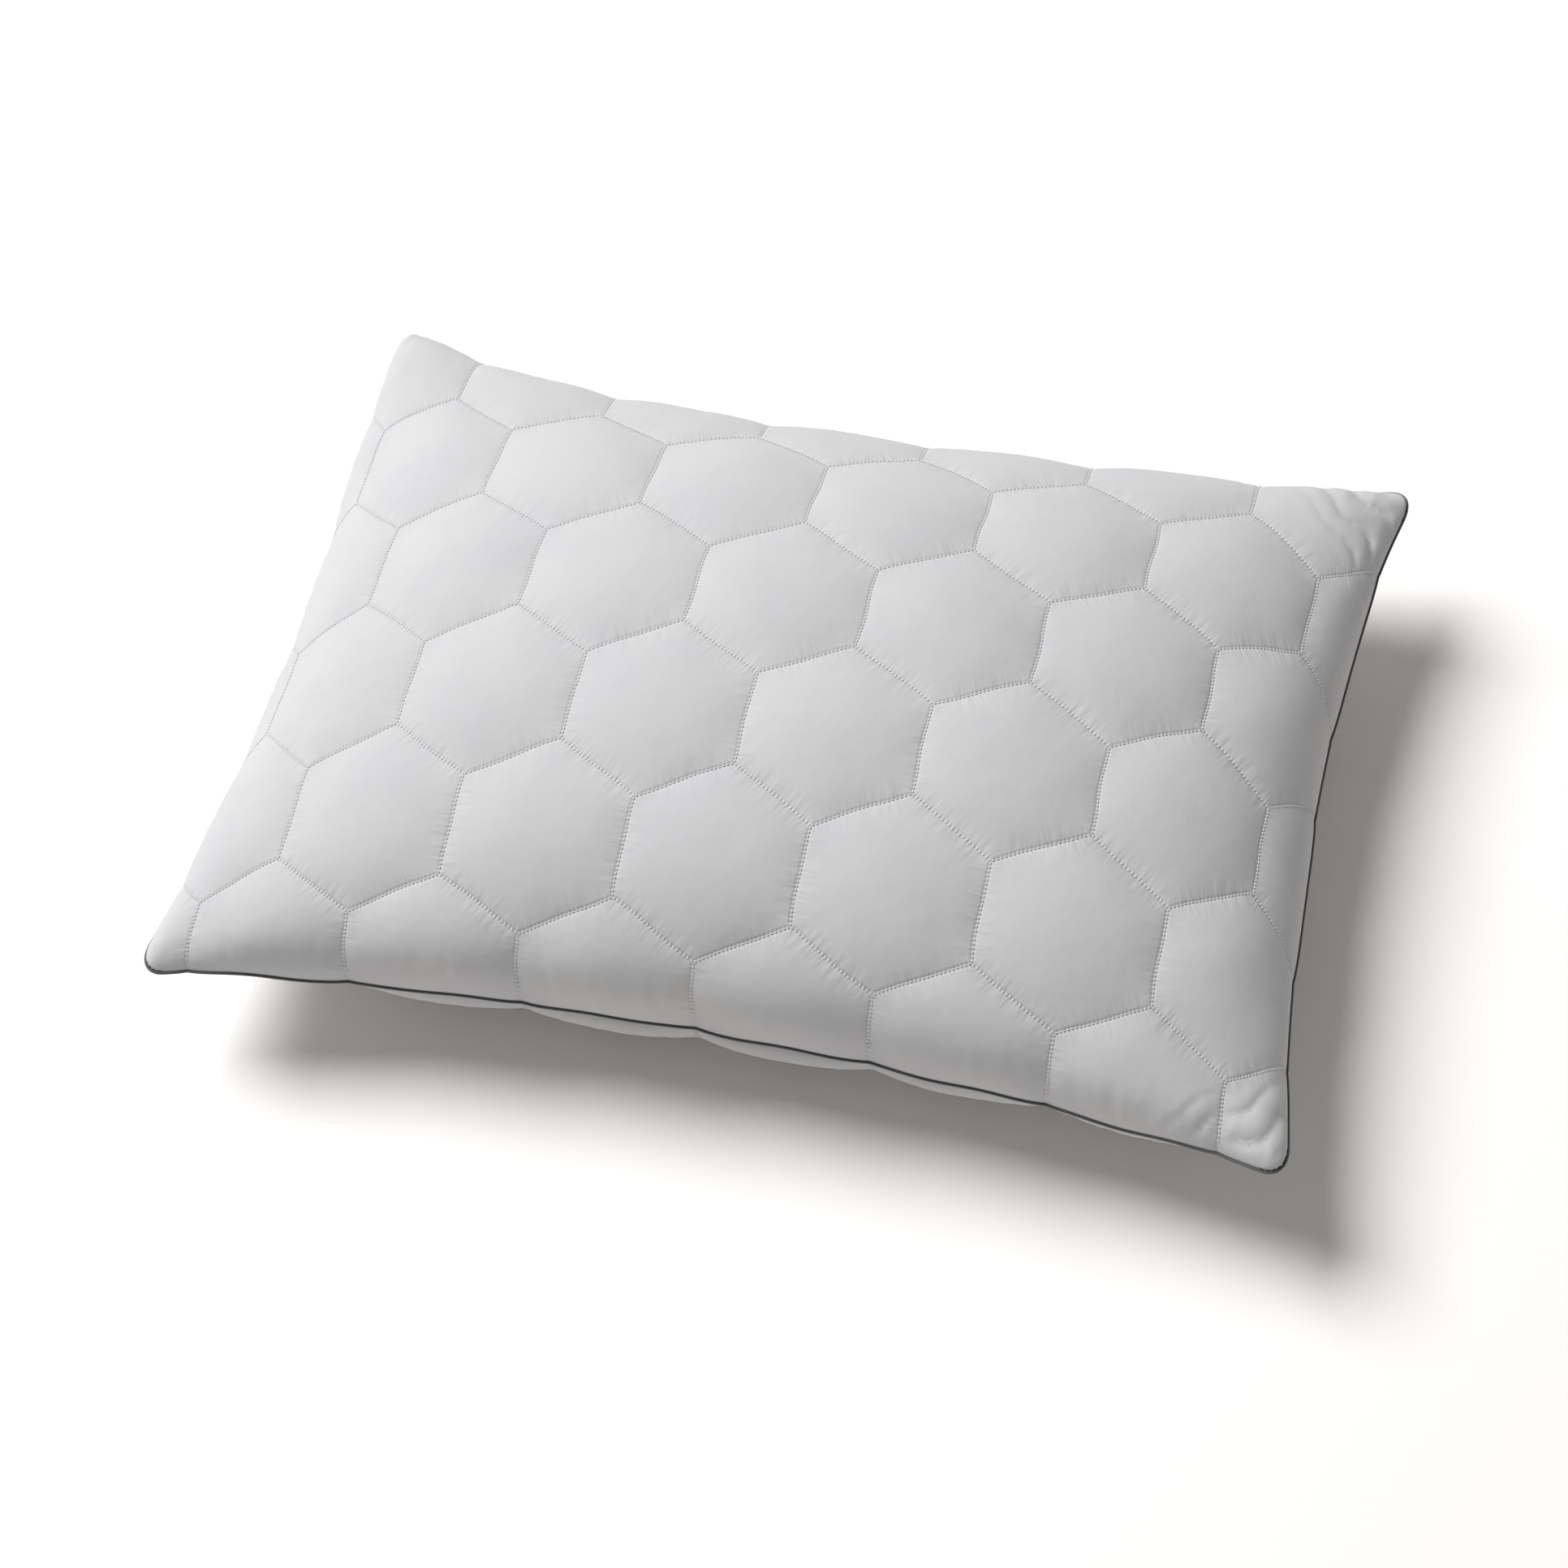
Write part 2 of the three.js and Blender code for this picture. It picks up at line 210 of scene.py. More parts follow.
def depth_inside(points):
    """How far each point of the pattern lies inside its rounded outline."""
    q = np.abs(points) - (HALF - CORNER_RADIUS)
    outside = np.linalg.norm(np.maximum(q, 0), axis=1)
    return CORNER_RADIUS - outside - np.minimum(q.max(axis=1), 0)


def cell_offset(points):
    """Each point's place measured from the centre of its own hexagon."""
    even = points - FIRST_CELL
    even = even - np.round(even / CELL_PITCH) * CELL_PITCH
    odd = points - FIRST_CELL - CELL_PITCH / 2
    odd = odd - np.round(odd / CELL_PITCH) * CELL_PITCH
    nearest = np.linalg.norm(even, axis=1) <= np.linalg.norm(odd, axis=1)
    return np.where(nearest[:, None], even, odd)


def line_distance(points):
    """How far each point of the pattern lies from the nearest quilting line."""
    across = cell_offset(points) @ SIDE_NORMALS.T
    return CELL / 2 - np.abs(across).max(axis=1)


def is_stitched(points):
    """Whether each point lies on a quilting line or on the seam."""
    return (line_distance(points) < 1e-6) | (depth_inside(points) < 1e-5)


def outline(step, inset=0.0):
    """The pattern's outline, counter-clockwise, in even steps. An inset runs it further inside."""
    half = HALF - CORNER_RADIUS
    radius = CORNER_RADIUS - inset
    arc_steps = math.ceil(CORNER_RADIUS * math.pi / 2 / step)
    signs = [(1, 1), (-1, 1), (-1, -1), (1, -1)]
    points = []
    for quarter in range(4):
        centre = half * signs[quarter]
        following = half * signs[(quarter + 1) % 4]
        for k in range(arc_steps + 1):
            angle = (quarter + k / arc_steps) * math.pi / 2
            points.append(centre + radius * np.array([math.cos(angle), math.sin(angle)]))
        steps = round(np.linalg.norm(following - centre) / step)
        start = points[-1]
        points += [start + (following - centre) * k / steps for k in range(1, steps)]
    return np.array(points)


def pattern_mesh():
    """The pattern as points and triangles, with a row of edges along every quilting line and the rim."""
    columns = math.ceil(HALF[0] / MESH_STEP / math.sqrt(0.75)) + 4
    rows = math.ceil(HALF[1] / MESH_STEP) + 12
    spots = [(i, j) for i in range(-columns, columns) for j in range(-rows, rows)]
    number = {spot: k for k, spot in enumerate(spots)}
    points = np.array([[i * math.sqrt(0.75), j + (i % 2) / 2] for i, j in spots]) * MESH_STEP + FIRST_CELL
    on_line = line_distance(points) < 1e-6
    depth = depth_inside(points)
    kept = depth > RIM_ROWS[-1] + np.where(on_line, 0.25, 0.45) * MESH_STEP
    kept_number = np.cumsum(kept) - 1
    loops = [outline(MESH_STEP, inset) for inset in RIM_ROWS]
    first = [int(kept.sum()) + k * len(loops[0]) for k in range(len(loops))]
    count = len(loops[0])
    edges = [(first[0] + k, first[0] + (k + 1) % count) for k in range(count)]
    for (i, j), a in number.items():
        for neighbour in ((i, j + 1), (i + 1, j), (i + 1, j + (1 if i % 2 else -1))):
            b = number.get(neighbour)
            if b is None or not (on_line[a] and on_line[b] and (kept[a] or kept[b])):
                continue
            if line_distance((points[a] + points[b])[None] / 2)[0] > 1e-6:
                continue
            if kept[a] and kept[b]:
                edges.append((int(kept_number[a]), int(kept_number[b])))
                continue
            inner, outer = (a, b) if kept[a] else (b, a)
            run = points[outer] - points[inner]
            last = int(kept_number[inner])
            for inset, loop, start in reversed(list(zip(RIM_ROWS, loops, first))):
                crossing = line_crossing(points[inner], run, inset)
                nearest = int(np.linalg.norm(loop - crossing, axis=1).argmin())
                loop[nearest] = crossing
                edges.append((last, start + nearest))
                last = start + nearest
    coords = [Vector(p) for p in np.vstack([points[kept], *loops])]
    verts, _, faces, _, _, _ = geometry.delaunay_2d_cdt(coords, edges, [], 1, 1e-8)
    flat = np.array([tuple(v) for v in verts])
    tris = np.array(faces)
    a, b, c = (flat[tris[:, k]] for k in range(3))
    clockwise = (b - a)[:, 0] * (c - a)[:, 1] < (b - a)[:, 1] * (c - a)[:, 0]
    tris[clockwise] = tris[clockwise][:, ::-1]
    return flat, tris


def line_crossing(start, run, inset):
    """Where a quilting line, followed from start along run, comes within the inset of the outline."""
    near, far = 0.0, 8.0
    for _ in range(40):
        middle = (near + far) / 2
        if depth_inside((start + run * middle)[None])[0] > inset:
            near = middle
        else:
            far = middle
    return start + run * far


# ---- the filled shape ----

def wandered(flat):
    """The pattern with its quilting lines a little off true, as they are sewn."""
    x, y = flat.T
    calm = np.clip(depth_inside(flat) / 0.03, 0, 1)
    dx = np.sin(61 * x + 17) * np.sin(83 * y + 5) + 0.7 * np.sin(140 * y - 60 * x)
    dy = np.sin(74 * x + 2) * np.sin(57 * y + 9) + 0.7 * np.sin(125 * x + 45 * y + 3)
    moved = flat + WANDER * np.stack([dx * calm, dy * calm], axis=1)
    to_end = np.clip((x - LAST_COLUMN) / LAST_COLUMN_WIDTH, 0, 1)
    drawn = to_end**2 * (3 - 2 * to_end) * np.exp(-(((y - STRAY_AT) / STRAY_SPREAD) ** 2))
    drawn = drawn * np.clip((HALF[1] - np.abs(y)) / 0.06, 0, 1)
    outward = np.clip((HALF[0] - np.abs(x)) / 0.054, 0, 1)
    return moved + LAST_COLUMN_SHIFT * np.stack([drawn * outward, drawn], axis=1)


def quadrant(s, t, signs):
    """Which points lie in the quarter of the panel with these signs."""
    return (np.sign(s) == signs[0]) & (np.sign(t) == signs[1])


def drawn_in(flat, s, t):
    """Where the seam's pull and the strays of the corners move the pattern to, seen from above."""
    end_pull = np.where(s < 0, LEFT_END_PULL, RIGHT_END_PULL)
    end_pull = end_pull + (CORNER_END_PULL - end_pull) * t * t
    side_pull = np.where(t < 0, FRONT_SIDE_PULL, BACK_SIDE_PULL)
    side_pull = side_pull + (CORNER_SIDE_PULL - side_pull) * s * s
    x = flat[:, 0] - end_pull * np.sign(s) * np.abs(s) ** PULL_POWER
    y = flat[:, 1] - side_pull * np.sign(t) * np.abs(t) ** PULL_POWER
    for signs, (along, across) in CORNER_STRAY.items():
        here = np.where(quadrant(s, t, signs), (s * t) ** 4, 0)
        x = x + along * here
        y = y + across * here
    for signs, (end_in, side_out, _) in BESIDE_CORNER.items():
        hump = beside_corner(s, t, signs)
        x = x - signs[0] * end_in * hump * np.abs(s) ** 8
        y = y + signs[1] * side_out * hump * np.abs(t) ** 8
    return x, y


def beside_corner(s, t, signs):
    """From 0 at a corner to 1 a little way along the edges from it, and back to 0."""
    near = (s * t) ** 4
    return np.where(quadrant(s, t, signs), 4 * near * (1 - near), 0)


def seam_height(x, y, s, t):
    """How high the seam lies: turned up at the corners, with a slight sway all round."""
    seam = SEAM_LEVEL + np.where(t < 0, FRONT_CORNER_LIFT, BACK_CORNER_LIFT) * (s * t) ** 2
    sway = np.sin(52 * x + 1) * np.cos(38 * y) + 0.6 * np.sin(97 * x - 71 * y)
    seam = seam + SEAM_SWAY * sway * np.maximum(np.abs(s), np.abs(t)) ** 8
    for signs, (_, _, side_up) in BESIDE_CORNER.items():
        seam = seam + side_up * beside_corner(s, t, signs) * np.abs(t) ** 8
    return seam


def corner_fullness(pattern, s, t, side):
    """How far the filling lifts the cloth of each corner beyond the even shape."""
    fuller = np.zeros(len(pattern))
    for signs, (front, back) in CORNER_FULLNESS.items():
        fuller = np.where(quadrant(s, t, signs), (front if side > 0 else back) * (s * t) ** 4, fuller)
    from_seam = 1 - np.exp(-np.maximum(depth_inside(pattern), 0) / 0.005)
    return fuller * from_seam * (0.4 + 0.6 * puff_share(pattern))


def filled_place(pattern, side):
    """Where points of the stitched panel lie on the filled pillow: the front for side 1, the back for -1."""
    flat = wandered(pattern)
    s, t = np.clip(flat / HALF, -1, 1).T
    across_power = np.where((t < 0) & (side < 0), UNDER_FRONT_POWER, SECTION_POWER)
    loft = (1 - np.abs(s) ** CROWN_POWER) ** SECTION_POWER * (1 - np.abs(t) ** CROWN_POWER) ** across_power
    loft[depth_inside(pattern) < 1e-5] = 0
    shoulder = np.exp(-(((t - SHOULDER_AT) / SHOULDER_SPREAD) ** 2)) * (1 - s**6)
    scallop = SCALLOP * (1 - np.exp(-line_distance(pattern) / SCALLOP_WIDTH)) - SCALLOP / 2
    x, y = drawn_in(flat, s, t)
    x = x + np.sign(s) * np.abs(s) ** 24 * scallop
    y = y + SHOULDER_OUT * shoulder + np.sign(t) * np.abs(t) ** 24 * scallop
    seam = seam_height(x, y, s, t)
    fuller = corner_fullness(pattern, s, t, side)
    if side > 0:
        rise = SHOULDER_UP * shoulder * np.clip(loft / 0.2, 0, 1)
        z = seam + RIM_LIFT + FRONT_CROWN * loft + rise + fuller
    else:
        drop = BACK_CROWN * loft + fuller
        room = seam - REST_CLEARANCE
        z = seam - RIM_LIFT - drop / (1 + (drop / room) ** 6) ** (1 / 6)
    return np.stack([x, y, z], axis=1)


def filled_normal(pattern, side):
    """The outward direction of the stitched panel at points of the pattern."""
    step = 0.001
    inside = np.clip(pattern, step - HALF, HALF - step)
    along = filled_place(inside + [step, 0], side) - filled_place(inside - [step, 0], side)
    across = filled_place(inside + [0, step], side) - filled_place(inside - [0, step], side)
    normal = np.cross(along, across) * side
    return normal / np.linalg.norm(normal, axis=1)[:, None]


def puff_share(flat):
    """From 0 on a stitched line or the seam to 1 in the middle of a cell."""
    across = np.abs(cell_offset(flat) @ SIDE_NORMALS.T) / (CELL / 2)
    dome = np.prod(np.maximum(1 - across**DOME_POWER, 0), axis=1) ** DOME_FULLNESS
    from_seam = np.clip(depth_inside(flat) / SEAM_BULGE, 0, 1)
    return dome * (1 - (1 - from_seam) ** 2.4)


def corner_folds(flat):
    """Soft folds lying across each corner, where the turned-up seam shortens the cloth."""
    height = np.zeros(len(flat))
    for (i, j), (size, pitch, lie, reach, phase) in CORNER_FOLDS.items():
        away = (HALF * [i, j] - flat) * [i, j]
        along = away @ [math.sin(lie), math.cos(lie)]
        across = away @ [-math.cos(lie), math.sin(lie)]
        warp = 0.0030 * np.sin(across * 60 + phase) + 0.0022 * np.sin(across * 131 + 2 * phase)
        turn = 2 * math.pi * (along + warp) / pitch + phase + 1.1 * np.sin(along * 75 + phase)
        ridge = 1 - np.abs(np.sin(turn / 2)) ** 0.6
        extent = np.clip((along - 0.008) / 0.015, 0, 1) * np.clip((reach - along) / 0.035, 0, 1)
        uneven = 0.7 + 0.3 * np.sin(across * 47 + 3 * phase)
        inside = (away > -0.02).all(axis=1)
        height -= np.where(inside, size * (ridge - 0.25) * extent * uneven, 0)
    return height * np.clip(puff_share(flat) * 2, 0, 1)


def seam_gathers(flat):
    """Shallow, uneven gathers running in from the seam."""
    depth = np.maximum(depth_inside(flat), 0)
    beside_end = (HALF[0] - np.abs(flat[:, 0])) < (HALF[1] - np.abs(flat[:, 1]))
    along_end = flat[:, 1] + 0.31 * np.sign(flat[:, 0])
    along_side = flat[:, 0] + 0.17 * np.sign(flat[:, 1])
    along = np.where(beside_end, along_end, along_side)
    turn = 2 * math.pi * (along + 0.25 * depth * np.sin(23 * along + 1))
    wave = np.sin(turn / GATHER_PITCH + 2.2 * np.sin(31 * along)) + 0.6 * np.sin(turn / FINE_GATHER_PITCH)
    patchy = np.clip(0.5 + 0.7 * np.sin(37 * along + 2) * np.sin(53 * along), 0.1, 1)
    fade = (1 - np.exp(-depth / 0.005)) * np.exp(-((depth / GATHER_REACH) ** 2))
    return GATHER * wave * patchy * fade * np.clip(puff_share(flat) * 3, 0, 1)


def vertex_normals(points, tris):
    """The mesh's normal at each point, from the triangles around it."""
    a, b, c = (points[tris[:, k]] for k in range(3))
    face = np.cross(b - a, c - a)
    normals = np.zeros_like(points)
    for k in range(3):
        np.add.at(normals, tris[:, k], face)
    return normals / np.maximum(np.linalg.norm(normals, axis=1), 1e-12)[:, None]


# ---- meshes ----

def new_piece(name, points, faces, material=None, smooth=True):
    """Adds a mesh object to the scene."""
    mesh = bpy.data.meshes.new(name)
    mesh.from_pydata(np.asarray(points).tolist(), [], [list(map(int, face)) for face in faces])
    mesh.polygons.foreach_set("use_smooth", [smooth] * len(mesh.polygons))
    if material:
        mesh.materials.append(material)
    mesh.update()
    piece = bpy.data.objects.new(name, mesh)
    bpy.context.scene.collection.objects.link(piece)
    return piece


def add_uv(piece, name, values):
    """Gives the piece a UV map from one (u, v) per face corner."""
    layer = piece.data.uv_layers.new(name=name)
    layer.data.foreach_set("uv", np.ascontiguousarray(values, dtype=np.float32).ravel())


def corner_index(piece):
    """The point that each face corner of the piece stands on."""
    index = np.empty(len(piece.data.loops), dtype=np.int32)
    piece.data.loops.foreach_get("vertex_index", index)
    return index


# ---- the cloth ----

def tautness(flat):
    """The share of the puffing that is left at points of the pattern."""
    left = np.ones(len(flat))
    for (axis, sign), (loss, reach) in TAUT_EDGES.items():
        inward = HALF[axis] - sign * flat[:, axis]
        left = left * (1 - loss * np.exp(-((inward / reach) ** 2)))
    return left


def unstretched(flat):
    """The cloth's own size: the pattern with some slack, and more of it just inside the seam."""
    away = flat - np.clip(flat, 0.03 - HALF, HALF - 0.03)
    away = away / np.maximum(np.linalg.norm(away, axis=1), 1e-9)[:, None]
    steep = np.clip(1 - depth_inside(flat) / STEEP_RIM, 0, 1) ** 2
    return np.column_stack([flat * SLACK + away * (STEEP_RIM_EXTRA * steep)[:, None], np.zeros(len(flat))])


def add_cloth(piece, rest_key, pins):
    """Gives the piece a cloth simulation that holds the pinned points and blows up the rest."""
    modifier = piece.modifiers.new("cloth", "CLOTH")
    settings = modifier.settings
    settings.rest_shape_key = rest_key
    settings.vertex_group_mass = pins
    settings.pin_stiffness = 50
    settings.quality = 8
    settings.mass = VERTEX_MASS
    settings.tension_stiffness = 15
    settings.compression_stiffness = 15
    settings.shear_stiffness = 8
    settings.bending_stiffness = 0.3
    settings.tension_damping = 5
    settings.compression_damping = 5
    settings.shear_damping = 5
    settings.bending_damping = 0.5
    settings.air_damping = 1
    settings.use_pressure = True
    settings.uniform_pressure_force = PRESSURE
    settings.effector_weights.gravity = 0
    modifier.collision_settings.use_collision = False
    modifier.point_cache.frame_start = 1
    modifier.point_cache.frame_end = FRAMES


def puffed_cloth(name, flat, tris, side):
    """Simulates one panel's cloth between its stitched lines. Gives the puffed points."""
    normals = filled_normal(flat, side)
    stitched = filled_place(flat, side)
    start = stitched + normals * (PUFF * puff_share(flat))[:, None]
    cloth = new_piece(name, start, tris if side > 0 else tris[:, ::-1])
    cloth.shape_key_add(name="Basis")
    laid_out = cloth.shape_key_add(name="pattern")
    laid_out.data.foreach_set("co", unstretched(flat).ravel())
    pins = cloth.vertex_groups.new(name="stitched")
    pins.add(np.flatnonzero(is_stitched(flat)).tolist(), 1.0, "REPLACE")
    add_cloth(cloth, laid_out, pins.name)
    scene = bpy.context.scene
    for number in range(1, FRAMES + 1):
        scene.frame_set(number)
    moved = np.empty(len(start) * 3)
    result = cloth.evaluated_get(bpy.context.evaluated_depsgraph_get())
    result.data.vertices.foreach_get("co", moved)
    bpy.data.objects.remove(cloth)
    scene.frame_set(1)
    travel = moved.reshape(-1, 3) - stitched
    length = np.linalg.norm(travel, axis=1)[:, None]
    travel = travel * np.minimum(1, PUFF_LIMIT / np.maximum(length, 1e-9))
    return stitched + travel * tautness(flat)[:, None]


def rested(points):
    """Flattens whatever would sink into the surface the pillow lies on."""
    z = points[:, 2]
    pressed = np.where(z < TOUCH, TOUCH * np.exp(np.minimum(z - TOUCH, 0) / TOUCH), z)
    return np.column_stack([points[:, :2], pressed])


def neighbour_sums(points, pairs):
    """For each point, the sum of the points that the pairs join it to, and how many those are."""
    total = np.zeros_like(points)
    np.add.at(total, pairs[:, 0], points[pairs[:, 1]])
    np.add.at(total, pairs[:, 1], points[pairs[:, 0]])
    return total, np.bincount(pairs.ravel(), minlength=len(points))[:, None]


def subdivided(flat, points, tris):
    """One round of smooth subdivision, with the stitched lines and the rim kept as creases."""
    corners = np.sort(tris[:, [[0, 1], [1, 2], [2, 0]]].reshape(-1, 2), axis=1)
    edges, index = np.unique(corners, axis=0, return_inverse=True)
    index = index.reshape(-1)
    a, b, c = tris.T
    ab, bc, ca = (len(points) + index.reshape(-1, 3)).T
    quarters = ((a, ab, ca), (b, bc, ab), (c, ca, bc), (ab, bc, ca))
    fine = np.concatenate([np.stack(quarter, axis=1) for quarter in quarters])
    middles_flat = (flat[edges[:, 0]] + flat[edges[:, 1]]) / 2
    held = is_stitched(flat)
    creased = held[edges[:, 0]] & held[edges[:, 1]] & is_stitched(middles_flat)
    opposite = np.zeros((len(edges), 3))
    np.add.at(opposite, index, points[tris[:, [2, 0, 1]].ravel()])
    ends = points[edges[:, 0]] + points[edges[:, 1]]
    middles = np.where(creased[:, None], ends / 2, 0.375 * ends + 0.125 * opposite)
    total, degree = neighbour_sums(points, edges)
    weight = np.where(degree == 3, 3 / 16, 3 / (8 * np.maximum(degree, 1)))
    moved = np.where(held[:, None], points, points * (1 - weight * degree) + weight * total)
    total, degree = neighbour_sums(points, edges[creased])
    moved = np.where(degree == 2, 0.75 * points + 0.125 * total, moved)
    return np.vstack([flat, middles_flat]), np.vstack([moved, middles]), fine


def rim_loop(tris):
    """The mesh's outer edges as vertex pairs, each in the order its triangle runs."""
    pairs = tris[:, [[0, 1], [1, 2], [2, 0]]].reshape(-1, 2)
    keys = np.sort(pairs, axis=1)
    _, index, counts = np.unique(keys, axis=0, return_inverse=True, return_counts=True)
    return pairs[counts[index.reshape(-1)] == 1]


def closed_slab(outer, inner, tris, side):
    """The faces of a closed slab between two coarse surfaces of the same triangles."""
    n = len(outer)
    turned = tris[:, ::-1]
    top, bottom = (tris, turned) if side > 0 else (turned, tris)
    walls = [(q, p, p + n, q + n) if side > 0 else (p, q, q + n, p + n) for p, q in rim_loop(tris)]
    return np.vstack([outer, inner]), [*top, *(bottom + n), *walls]


def fabric_faces(flat, points, tris, inner, side):
    """A closed cloth shell with a finely divided outer face. Gives its pattern places, points and faces."""
    fine_flat, fine_points, fine_tris = subdivided(flat, points, tris)
    relief = corner_folds(fine_flat) + seam_gathers(fine_flat)
    fine_points = fine_points + filled_normal(fine_flat, side) * relief[:, None]
    fine_points = rested(fine_points)
    after = {int(p): int(q) for p, q in rim_loop(fine_tris)}
    first = len(fine_points)
    face_order = 1 if side > 0 else -1
    faces = [*fine_tris[:, ::face_order], *(tris[:, ::-face_order] + first)]
    for p, q in rim_loop(tris).tolist():
        m = after[p]
        fan = [(m, p, p + first), (m, p + first, q + first), (q, m, q + first)]
        faces += fan if side > 0 else [face[::-1] for face in fan]
    return np.vstack([fine_flat, flat]), np.vstack([fine_points, inner]), faces


# ---- materials ----

def new_group(name, inputs, output, build):
    """A node group: inputs as (name, socket type, default), and one output."""
    tree = bpy.data.node_groups.new(name, "ShaderNodeTree")
    for label, kind, default in inputs:
        socket = tree.interface.new_socket(name=label, in_out="INPUT", socket_type=kind)
        if default is not None:
            socket.default_value = default
    tree.interface.new_socket(name=output[0], in_out="OUTPUT", socket_type=output[1])
    start = tree.nodes.new("NodeGroupInput")
    end = tree.nodes.new("NodeGroupOutput")
    tree.links.new(build(tree, start), end.inputs[0])
    return tree


def add_node(tree, kind, settings=(), inputs=()):
    """Adds a node. Each input is a value, or a socket to link from."""
    node = tree.nodes.new(kind)
    for key, value in dict(settings).items():
        setattr(node, key, value)
    for key, value in dict(inputs).items():
        if isinstance(value, bpy.types.NodeSocket):
            tree.links.new(value, node.inputs[key])
        else:
            node.inputs[key].default_value = value
    return node


def maths(tree, operation, a, b=0.0):
    """One step of arithmetic on values or sockets."""
    return add_node(tree, "ShaderNodeMath", {"operation": operation}, {0: a, 1: b}).outputs[0]


def mapped(tree, value, low, high, to_low=0.0, to_high=1.0):
    """Eases a value from one range to another."""
    inputs = {"Value": value, "From Min": low, "From Max": high, "To Min": to_low, "To Max": to_high}
    return add_node(tree, "ShaderNodeMapRange", {"interpolation_type": "SMOOTHSTEP"}, inputs).outputs[0]


def uv_map(tree, name):
    """The place on one of the piece's UV maps."""
    return add_node(tree, "ShaderNodeUVMap", {"uv_map": name}).outputs[0]


def separated(tree, vector):
    """The first two parts of a vector."""
    parts = add_node(tree, "ShaderNodeSeparateXYZ", (), {0: vector})
    return parts.outputs[0], parts.outputs[1]


def noise(tree, vector, scale, detail=2.0, roughness=0.5):
    """Smooth random unevenness."""
    inputs = {"Vector": vector, "Scale": scale, "Detail": detail, "Roughness": roughness}
    return add_node(tree, "ShaderNodeTexNoise", {"noise_dimensions": "3D"}, inputs).outputs[0]


def weave_height(tree, start):
    """Plain weave: warp and weft passing over each other, from pattern coordinates in metres."""
    along, across = separated(tree, start.outputs["Pattern"])
    turn = maths(tree, "DIVIDE", math.pi, start.outputs["Pitch"])
    warp = maths(tree, "SINE", maths(tree, "MULTIPLY", along, turn))
    weft = maths(tree, "SINE", maths(tree, "MULTIPLY", across, turn))
    crossed = maths(tree, "MULTIPLY", warp, weft)
    ridges = maths(tree, "ADD", maths(tree, "MULTIPLY", warp, warp), maths(tree, "MULTIPLY", weft, weft))
    slub_warp = slub_streaks(tree, start, (1500, 90, 1))
    slub_weft = slub_streaks(tree, start, (90, 1500, 1))
    slubs = maths(tree, "ADD", slub_warp, slub_weft)
    mixed = maths(tree, "ADD", maths(tree, "MULTIPLY", crossed, 0.5), maths(tree, "MULTIPLY", ridges, 0.35))
    return maths(tree, "ADD", mixed, maths(tree, "MULTIPLY", slubs, 1.2))


def slub_streaks(tree, start, stretch):
    """Thicker threads here and there, running one way."""
    inputs = {0: start.outputs["Pattern"], 1: stretch}
    place = add_node(tree, "ShaderNodeVectorMath", {"operation": "MULTIPLY"}, inputs)
    return noise(tree, place.outputs[0], 1.0, 2.0)


def pucker_height(tree, start):
    """Short gathers running off a seam: high beside it and gone further away."""
    along = start.outputs["Along"]
    away = start.outputs["Away"]
    spread = maths(tree, "MULTIPLY", away, 22.0)
    place = add_node(tree, "ShaderNodeCombineXYZ", (), {0: maths(tree, "MULTIPLY", along, 150.0), 1: spread})
    gathers = noise(tree, place.outputs[0], 1.0, 2.0, 0.55)
    fade = mapped(tree, away, 0.001, start.outputs["Reach"], 1.0, 0.0)
    return maths(tree, "MULTIPLY", maths(tree, "SUBTRACT", gathers, 0.5), fade)


def principled(name, color, roughness, **more):
    """A new material. Gives it with its node tree and its shader."""
    material = bpy.data.materials.new(name)
    material.use_nodes = True
    tree = material.node_tree
    shader = tree.nodes["Principled BSDF"]
    shader.inputs["Base Color"].default_value = (*color, 1)
    shader.inputs["Roughness"].default_value = roughness
    for key, value in more.items():
        shader.inputs[key.replace("_", " ")].default_value = value
    return material, tree, shader


def bump(tree, height, distance, strength=1.0, normal=None):
    """A normal bent by the height, on top of another normal if one is given."""
    inputs = {"Height": height, "Distance": distance, "Strength": strength}
    if normal is not None:
        inputs["Normal"] = normal
    return add_node(tree, "ShaderNodeBump", (), inputs).outputs[0]


WEAVE = new_group(
    "Weave height",
    [("Pattern", "NodeSocketVector", None), ("Pitch", "NodeSocketFloat", 0.0003)],
    ("Height", "NodeSocketFloat"),
    weave_height,
)
PUCKER = new_group(
    "Pucker height",
    [
        ("Along", "NodeSocketFloat", 0.0),
        ("Away", "NodeSocketFloat", 0.0),
        ("Reach", "NodeSocketFloat", 0.02),
    ],
    ("Height", "NodeSocketFloat"),
    pucker_height,
)


def group_output(tree, group, **inputs):
    """The output of a node group with these inputs."""
    return add_node(tree, "ShaderNodeGroup", {"node_tree": group}, inputs).outputs[0]


def cotton_tint(tree, pattern):
    """White cotton, a very little uneven in shade."""
    shade = mapped(tree, noise(tree, pattern, 14.0, 3.0), 0.35, 0.65)
    inputs = {0: shade, 6: (0.54, 0.54, 0.548, 1), 7: (0.565, 0.564, 0.566, 1)}
    return add_node(tree, "ShaderNodeMix", {"data_type": "RGBA"}, inputs).outputs[2]


